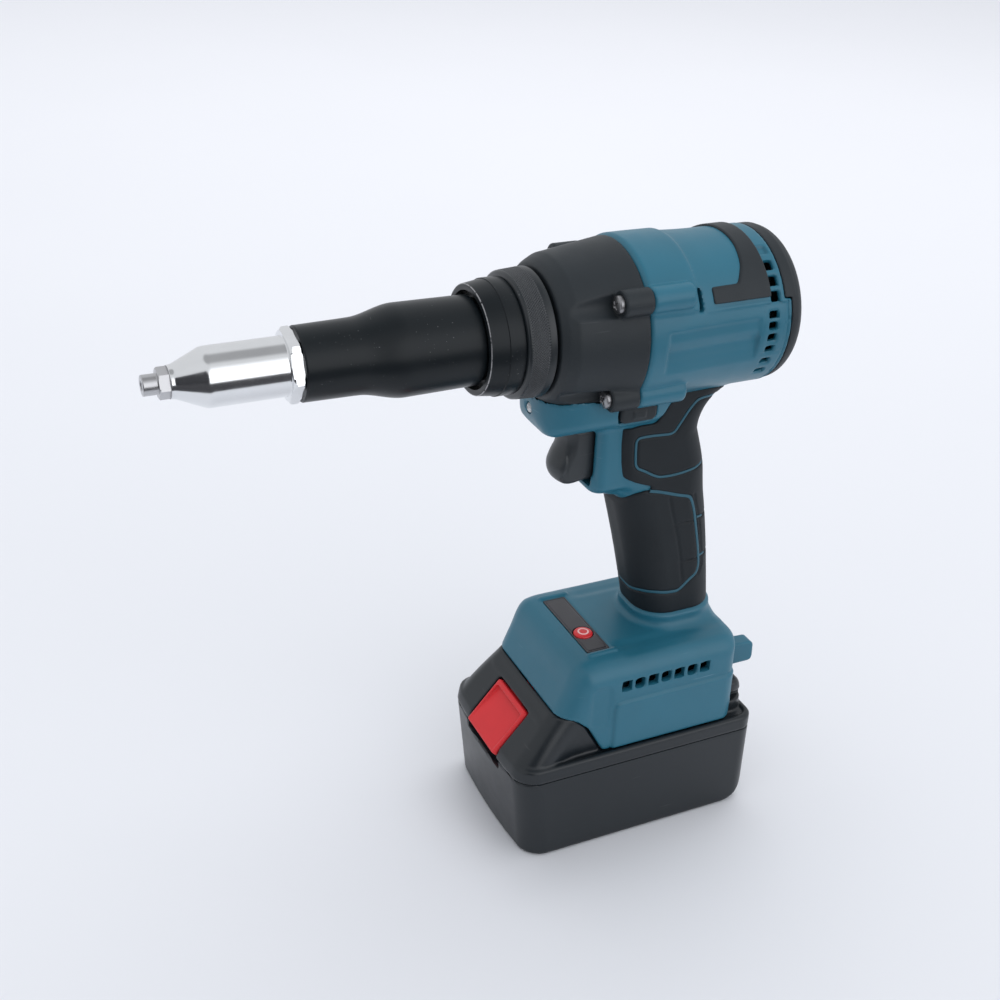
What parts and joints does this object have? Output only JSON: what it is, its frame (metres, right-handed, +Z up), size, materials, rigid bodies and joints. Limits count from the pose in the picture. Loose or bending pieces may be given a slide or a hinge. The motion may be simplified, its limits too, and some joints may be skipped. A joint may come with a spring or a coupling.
{
  "type": "cordless rivet gun",
  "caption": "Cordless blind-rivet gun with a chrome nose, black barrel, teal clamshell body, pistol grip and slide-on battery pack; trigger, gears and pull screw move.",
  "frame": {"origin": "under the middle of the battery pack, on the flat base that the tool stands on", "axes": "+X towards the nose, +Y to the tool's left side, +Z up"},
  "size_m": [0.2568, 0.075, 0.2636],
  "materials": {
    "teal_plastic": "satin moulded plastic, teal blue",
    "black_plastic": "fine textured black plastic",
    "soft_grip": "soft black overmould",
    "black_metal": "black anodised, satin",
    "bright_chrome": "polished chrome plate",
    "steel": "machined steel",
    "red_plastic": "glossy red plastic",
    "panel_plastic": "dark printed panel, left plain",
    "copper": "enamelled copper wire",
    "board": "green circuit board",
    "cell_sleeve": "sleeved steel cell",
    "lens": "clear milky lens"
  },
  "bodies": {
    "tool": {"nosepiece": "steel", "nose_sleeve": "bright_chrome", "barrel": "black_metal", "collar": "black_metal", "knurled_ring": "black_metal", "nut_bearing": "steel", "gear_case": "black_plastic", "gear_case_screws": "bright_chrome", "ring_gear": "steel", "thrust_bearing": "steel", "motor_plate": "black_metal", "front_bearing": "steel", "rear_bearing": "steel", "stator": "steel", "windings": "copper", "left_housing": "teal_plastic", "right_housing": "teal_plastic", "housing_screws": "steel", "grip_pad_left": "soft_grip", "grip_pad_right": "soft_grip", "rear_cap": "black_plastic", "shoulder_band": "black_plastic", "trigger_switch": "black_plastic", "trigger_spring": "steel", "led_lens": "lens", "led_board": "board", "control_panel": "panel_plastic", "control_board": "board", "terminal_block": "black_plastic"},
    "rotor": {"rotor": "steel", "motor_pinion": "steel", "fan": "black_plastic"},
    "carrier_1": {"carrier_1": "steel"},
    "carrier_2": {"carrier_2": "steel", "screw_nut": "steel"},
    "pull_screw": {"pull_screw": "steel", "jaw_case": "steel", "jaw_spring": "steel"},
    "jaws": {"jaws": "steel", "jaw_pusher": "steel"},
    "trigger": {"trigger": "black_plastic"},
    "selector": {"selector": "black_plastic"},
    "power_button": {"power_button": "red_plastic"},
    "battery": {"battery_lower_case": "black_plastic", "battery_upper_case": "black_plastic", "battery_screws": "steel", "cells": "cell_sleeve", "cell_holders": "black_plastic", "battery_board": "board", "battery_terminals": "steel", "release_springs": "steel"},
    "release_button": {"release_button": "red_plastic"},
    "planet_1a": {"planet_1a": "steel"},
    "planet_1b": {"planet_1b": "steel"},
    "planet_1c": {"planet_1c": "steel"},
    "planet_2a": {"planet_2a": "steel"},
    "planet_2b": {"planet_2b": "steel"},
    "planet_2c": {"planet_2c": "steel"}
  },
  "joints": [
    {"name": "rotor_spin", "type": "hinge", "parent": "tool", "child": "rotor", "pos_m": [0, 0, 0.23], "axis": [1, 0, 0], "range_deg": [0, 36450.01]},
    {"name": "carrier_1_spin", "type": "hinge", "parent": "tool", "child": "carrier_1", "pos_m": [0, 0, 0.23], "axis": [1, 0, 0], "range_deg": [0, 8100.01]},
    {"name": "carrier_2_spin", "type": "hinge", "parent": "tool", "child": "carrier_2", "pos_m": [0, 0, 0.23], "axis": [1, 0, 0], "range_deg": [0, 1800.01]},
    {"name": "screw_pull", "type": "slide", "parent": "tool", "child": "pull_screw", "axis": [-1, 0, 0], "range_m": [0, 0.02]},
    {"name": "jaws_slide", "type": "slide", "parent": "pull_screw", "child": "jaws", "axis": [-1, 0, 0], "range_m": [0, 0.002], "stiffness_N_per_m": 800, "springref_m": -0.004, "deforming": ["jaw_spring"]},
    {"name": "trigger_pull", "type": "slide", "parent": "tool", "child": "trigger", "axis": [-1, 0, 0], "range_m": [0, 0.006], "stiffness_N_per_m": 700, "springref_m": -0.004, "deforming": ["trigger_spring"]},
    {"name": "selector_slide", "type": "slide", "parent": "tool", "child": "selector", "axis": [0, 1, 0], "range_m": [-0.0025, 0.0025]},
    {"name": "power_button_press", "type": "slide", "parent": "tool", "child": "power_button", "axis": [0, 0, -1], "range_m": [0, 0.0006], "stiffness_N_per_m": 1500, "springref_m": -0.001},
    {"name": "battery_slide", "type": "slide", "parent": "tool", "child": "battery", "axis": [1, 0, 0], "range_m": [0, 0.1]},
    {"name": "release_press", "type": "slide", "parent": "battery", "child": "release_button", "axis": [0, 0, -1], "range_m": [0, 0.003], "stiffness_N_per_m": 900, "springref_m": -0.004, "deforming": ["release_springs"]},
    {"name": "planet_1a_spin", "type": "hinge", "parent": "carrier_1", "child": "planet_1a", "pos_m": [0, 0.0135, 0.23], "axis": [1, 0, 0], "range_deg": [-22680.01, 0]},
    {"name": "planet_1b_spin", "type": "hinge", "parent": "carrier_1", "child": "planet_1b", "pos_m": [0, -0.00675, 0.24169], "axis": [1, 0, 0], "range_deg": [-22680.01, 0]},
    {"name": "planet_1c_spin", "type": "hinge", "parent": "carrier_1", "child": "planet_1c", "pos_m": [0, -0.00675, 0.21831], "axis": [1, 0, 0], "range_deg": [-22680.01, 0]},
    {"name": "planet_2a_spin", "type": "hinge", "parent": "carrier_2", "child": "planet_2a", "pos_m": [0, 0.0135, 0.23], "axis": [1, 0, 0], "range_deg": [-5040.01, 0]},
    {"name": "planet_2b_spin", "type": "hinge", "parent": "carrier_2", "child": "planet_2b", "pos_m": [0, -0.00675, 0.24169], "axis": [1, 0, 0], "range_deg": [-5040.01, 0]},
    {"name": "planet_2c_spin", "type": "hinge", "parent": "carrier_2", "child": "planet_2c", "pos_m": [0, -0.00675, 0.21831], "axis": [1, 0, 0], "range_deg": [-5040.01, 0]}
  ],
  "couplings": [
    {"joint": "rotor_spin", "follows": "screw_pull", "rad_per_m": 31809},
    {"joint": "carrier_1_spin", "follows": "screw_pull", "rad_per_m": 7068.6},
    {"joint": "carrier_2_spin", "follows": "screw_pull", "rad_per_m": 1570.8},
    {"joint": "planet_1a_spin", "follows": "screw_pull", "rad_per_m": -19792},
    {"joint": "planet_1b_spin", "follows": "screw_pull", "rad_per_m": -19792},
    {"joint": "planet_1c_spin", "follows": "screw_pull", "rad_per_m": -19792},
    {"joint": "planet_2a_spin", "follows": "screw_pull", "rad_per_m": -4398.2},
    {"joint": "planet_2b_spin", "follows": "screw_pull", "rad_per_m": -4398.2},
    {"joint": "planet_2c_spin", "follows": "screw_pull", "rad_per_m": -4398.2}
  ]
}
